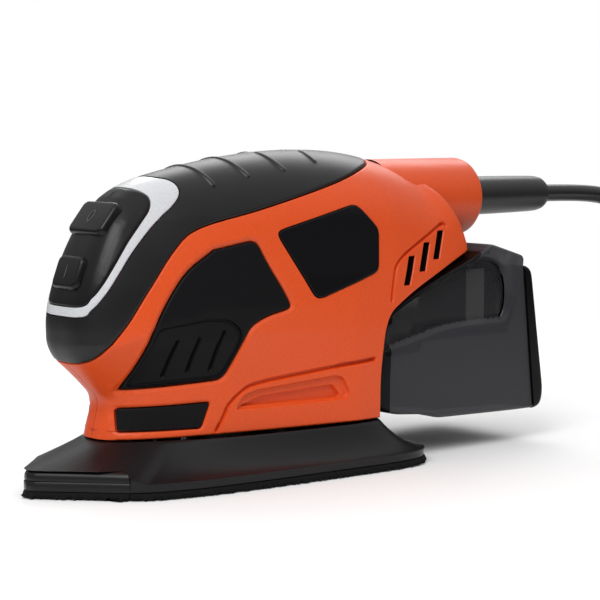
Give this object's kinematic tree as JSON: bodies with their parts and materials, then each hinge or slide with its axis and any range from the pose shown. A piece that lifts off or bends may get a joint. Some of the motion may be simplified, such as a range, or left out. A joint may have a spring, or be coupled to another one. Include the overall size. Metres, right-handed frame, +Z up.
{
  "type": "detail mouse sander",
  "caption": "Palm sander with a teardrop orbiting base, pointed detail tip, orange clamshell body, soft grip, dust canister and mains lead.",
  "frame": {"origin": "foot of the motor's vertical axis on the sanding face", "axes": "+X from the pointed nose to the rear, +Z up from the sanding face, -Y is the tool's left side"},
  "size_m": [0.4413, 0.1211, 0.1125],
  "materials": {
    "orange_shell": "satin orange moulded ABS",
    "soft_grip": "soft black overmould, satin",
    "silver_trim": "silver painted trim with fine sparkle",
    "black_plastic": "fine textured black plastic",
    "smoke_plastic": "smoked translucent plastic",
    "hook_fabric": "hook-and-loop sheet",
    "cord_jacket": "smooth black cord jacket",
    "steel": "ground steel",
    "copper_wire": "enamelled copper winding",
    "lamination": "stacked steel laminations",
    "inner_plastic": "plain dark moulding",
    "carbon": "carbon brush",
    "filter_fabric": "pleated filter felt",
    "rubber": "moulded black rubber"
  },
  "bodies": {
    "body": {"badge_plate_left": "black_plastic", "badge_plate_right": "black_plastic", "brush_holder_left": "inner_plastic", "brush_holder_right": "inner_plastic", "carbon_brush_left": "carbon", "carbon_brush_right": "carbon", "clamp_screw_left": "steel", "clamp_screw_right": "steel", "cord_clamp": "inner_plastic", "cord_coil": "cord_jacket", "cord_tie": "rubber", "field_coil_left": "copper_wire", "field_coil_right": "copper_wire", "flex_post_1": "rubber", "flex_post_2": "rubber", "flex_post_3": "rubber", "flex_post_4": "rubber", "front_insert_left": "soft_grip", "front_insert_right": "soft_grip", "housing_left": "orange_shell", "housing_right": "orange_shell", "housing_screw_1": "steel", "housing_screw_2": "steel", "housing_screw_3": "steel", "housing_screw_4": "steel", "lower_bearing": "steel", "motor_bracket": "inner_plastic", "plug_body": "cord_jacket", "plug_pin_left": "steel", "plug_pin_right": "steel", "power_cord": "cord_jacket", "side_grip_left": "soft_grip", "side_grip_right": "soft_grip", "silver_trim": "silver_trim", "stator_core": "lamination", "strain_relief": "rubber", "suppression_capacitor": "inner_plastic", "switch_bezel": "black_plastic", "switch_body": "inner_plastic", "top_grip": "soft_grip", "upper_bearing": "steel"},
    "rotor": {"motor_shaft": "steel", "armature_core": "lamination", "armature_winding_lower": "copper_wire", "armature_winding_upper": "copper_wire", "commutator": "copper_wire", "cooling_fan": "inner_plastic", "counterweight": "steel"},
    "platen": {"base_platen": "black_plastic", "detail_tip": "black_plastic", "tip_screw": "steel", "hook_pad_main": "hook_fabric", "hook_pad_tip": "hook_fabric", "platen_bearing": "steel"},
    "on_key": {"on_button": "black_plastic"},
    "off_key": {"off_button": "black_plastic"},
    "rocker": {"switch_rocker": "inner_plastic"},
    "dust_box": {"canister_body": "smoke_plastic", "canister_filter": "filter_fabric"},
    "dust_door": {"canister_door": "black_plastic"}
  },
  "joints": [
    {"name": "motor_spin", "type": "hinge", "parent": "body", "child": "rotor", "pos_m": [0, 0, 0.03], "axis": [0, 0, 1], "continuous": true},
    {"name": "platen_orbit", "type": "hinge", "parent": "rotor", "child": "platen", "pos_m": [0.0008, 0, 0.012], "axis": [0, 0, 1], "continuous": true},
    {"name": "off_press", "type": "slide", "parent": "body", "child": "off_key", "axis": [-0.7771, 0, 0.6293], "range_m": [-0.0022, 0]},
    {"name": "on_press", "type": "slide", "parent": "body", "child": "on_key", "axis": [-0.9336, 0, 0.3584], "range_m": [0, 0.0022]},
    {"name": "rocker_tilt", "type": "hinge", "parent": "body", "child": "rocker", "pos_m": [-0.047, 0, 0.079], "axis": [0, 1, 0], "range_deg": [0, 11.96]},
    {"name": "canister_pull", "type": "slide", "parent": "body", "child": "dust_box", "axis": [1, 0, 0], "range_m": [0, 0.055]},
    {"name": "canister_door", "type": "hinge", "parent": "dust_box", "child": "dust_door", "pos_m": [0.1328, 0, 0.012], "axis": [0, 1, 0], "range_deg": [0, 65]}
  ],
  "couplings": [
    {"joint": "platen_orbit", "follows": "motor_spin", "ratio": -1},
    {"joint": "on_press", "follows": "off_press", "ratio": -1},
    {"joint": "rocker_tilt", "follows": "off_press", "rad_per_m": -90.909}
  ]
}
